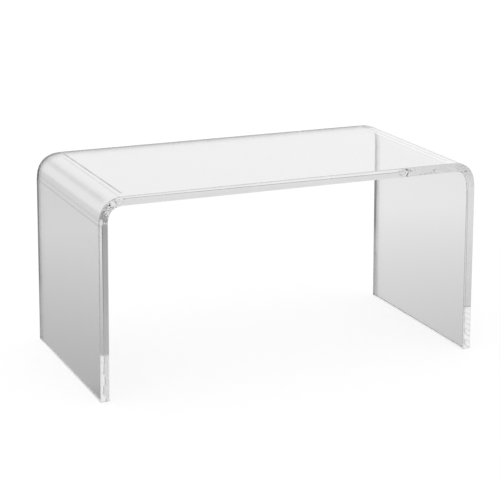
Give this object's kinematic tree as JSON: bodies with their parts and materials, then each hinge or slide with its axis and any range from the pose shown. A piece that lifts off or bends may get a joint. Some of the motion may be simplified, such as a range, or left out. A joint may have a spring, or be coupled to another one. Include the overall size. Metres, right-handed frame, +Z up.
{
  "type": "waterfall coffee table",
  "caption": "Clear acrylic waterfall coffee table: one thick sheet bent down at both ends into slab legs, on small clear pads.",
  "frame": {"origin": "on the floor, under the middle of the top", "axes": "+X along the table, +Y to the rear edge, +Z up"},
  "size_m": [0.914, 0.457, 0.453],
  "materials": {
    "clear_acrylic": "clear cast acrylic, polished faces and edges",
    "clear_pad": "clear soft polyurethane, satin"
  },
  "bodies": {
    "root": {"acrylic_sheet": "clear_acrylic", "pad_front_left": "clear_pad", "pad_rear_left": "clear_pad", "pad_front_right": "clear_pad", "pad_rear_right": "clear_pad"}
  },
  "joints": []
}
